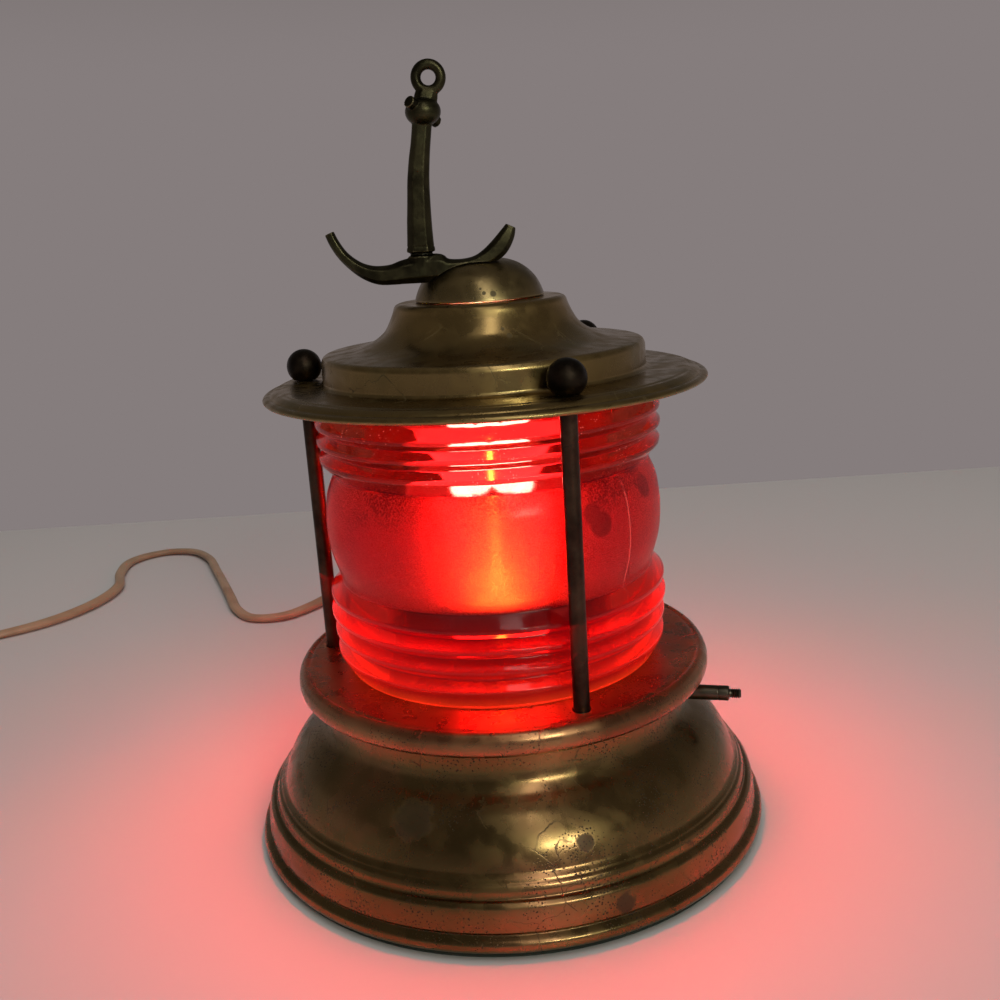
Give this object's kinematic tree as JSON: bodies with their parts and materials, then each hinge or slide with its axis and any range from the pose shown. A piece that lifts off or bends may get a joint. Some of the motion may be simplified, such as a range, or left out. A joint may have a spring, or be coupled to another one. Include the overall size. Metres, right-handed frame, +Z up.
{
  "type": "anchor light lamp",
  "caption": "Nautical table lamp shaped as an anchor light: spun brass bell base, ribbed red glass globe between tie rods, stepped canopy with a cast anchor on its dome, switch shaft and cord.",
  "frame": {"origin": "centre of the felt pad's underside, on the table", "axes": "+Z up along the lamp's axis, -Y towards the front, the anchor's broad side"},
  "size_m": [0.4819, 0.3588, 0.2081],
  "materials": {
    "aged_brass": "aged, tarnished and pitted, worn bright on edges",
    "dark_brass": "dark tarnish, satin",
    "bronze": "cast, dark olive brown",
    "socket_brass": "plain stamped brass",
    "dark_steel": "dark oxidised",
    "shaft_steel": "dull, slightly yellow",
    "steel": "plain zinc",
    "red_glass": "pressed, hazy, saturated red",
    "bulb_glass": "frosted, lit",
    "fibre": "pressed fibre board",
    "felt": "dark felt",
    "black_rubber": "matt",
    "black_plastic": "moulded, satin",
    "tan_plastic": "soft vinyl cord cover"
  },
  "bodies": {
    "lamp": {"base_shell": "aged_brass", "deck_plate": "aged_brass", "canopy": "aged_brass", "dome_cap": "dark_brass", "anchor": "bronze", "anchor_screw": "steel", "globe": "red_glass", "tie_rod_1": "dark_steel", "tie_rod_2": "dark_steel", "tie_rod_3": "dark_steel", "rod_nut_1": "steel", "rod_nut_2": "steel", "rod_nut_3": "steel", "base_board": "fibre", "felt_pad": "felt", "socket_bracket": "steel", "nipple": "steel", "lock_nut": "steel", "socket_cap": "socket_brass", "socket_shell": "socket_brass", "socket_sleeve": "fibre", "socket_body": "black_plastic", "screw_shell": "socket_brass", "centre_contact": "socket_brass", "terminal_screw_1": "socket_brass", "terminal_screw_2": "socket_brass", "cord_bush": "black_rubber", "inner_lead": "tan_plastic", "cord_run": "tan_plastic", "cord_coil": "tan_plastic", "cord_tail": "tan_plastic", "plug_body": "tan_plastic", "plug_blade_1": "socket_brass", "plug_blade_2": "socket_brass"},
    "switch": {"switch_shaft": "shaft_steel"},
    "bulb": {"bulb_glass": "bulb_glass", "bulb_base": "socket_brass", "bulb_tip": "black_plastic"},
    "nut_1": {"ball_nut_1": "dark_brass"},
    "nut_2": {"ball_nut_2": "dark_brass"},
    "nut_3": {"ball_nut_3": "dark_brass"}
  },
  "joints": [
    {"name": "switch_turn", "type": "hinge", "parent": "lamp", "child": "switch", "pos_m": [0, 0, 0.0378], "axis": [0.9694, -0.2453, 0], "continuous": true},
    {"name": "bulb_turn", "type": "hinge", "parent": "lamp", "child": "bulb", "pos_m": [0, 0, 0.0467], "axis": [0, 0, 1], "range_deg": [0, 1260]},
    {"name": "nut_1_turn", "type": "hinge", "parent": "lamp", "child": "nut_1", "pos_m": [0.01862, -0.04633, 0.12945], "axis": [0, 0, 1], "range_deg": [0, 2520]},
    {"name": "nut_2_turn", "type": "hinge", "parent": "lamp", "child": "nut_2", "pos_m": [0.03081, 0.03929, 0.12945], "axis": [0, 0, 1], "range_deg": [0, 2520]},
    {"name": "nut_3_turn", "type": "hinge", "parent": "lamp", "child": "nut_3", "pos_m": [-0.04943, 0.00704, 0.12945], "axis": [0, 0, 1], "range_deg": [0, 2520]}
  ]
}
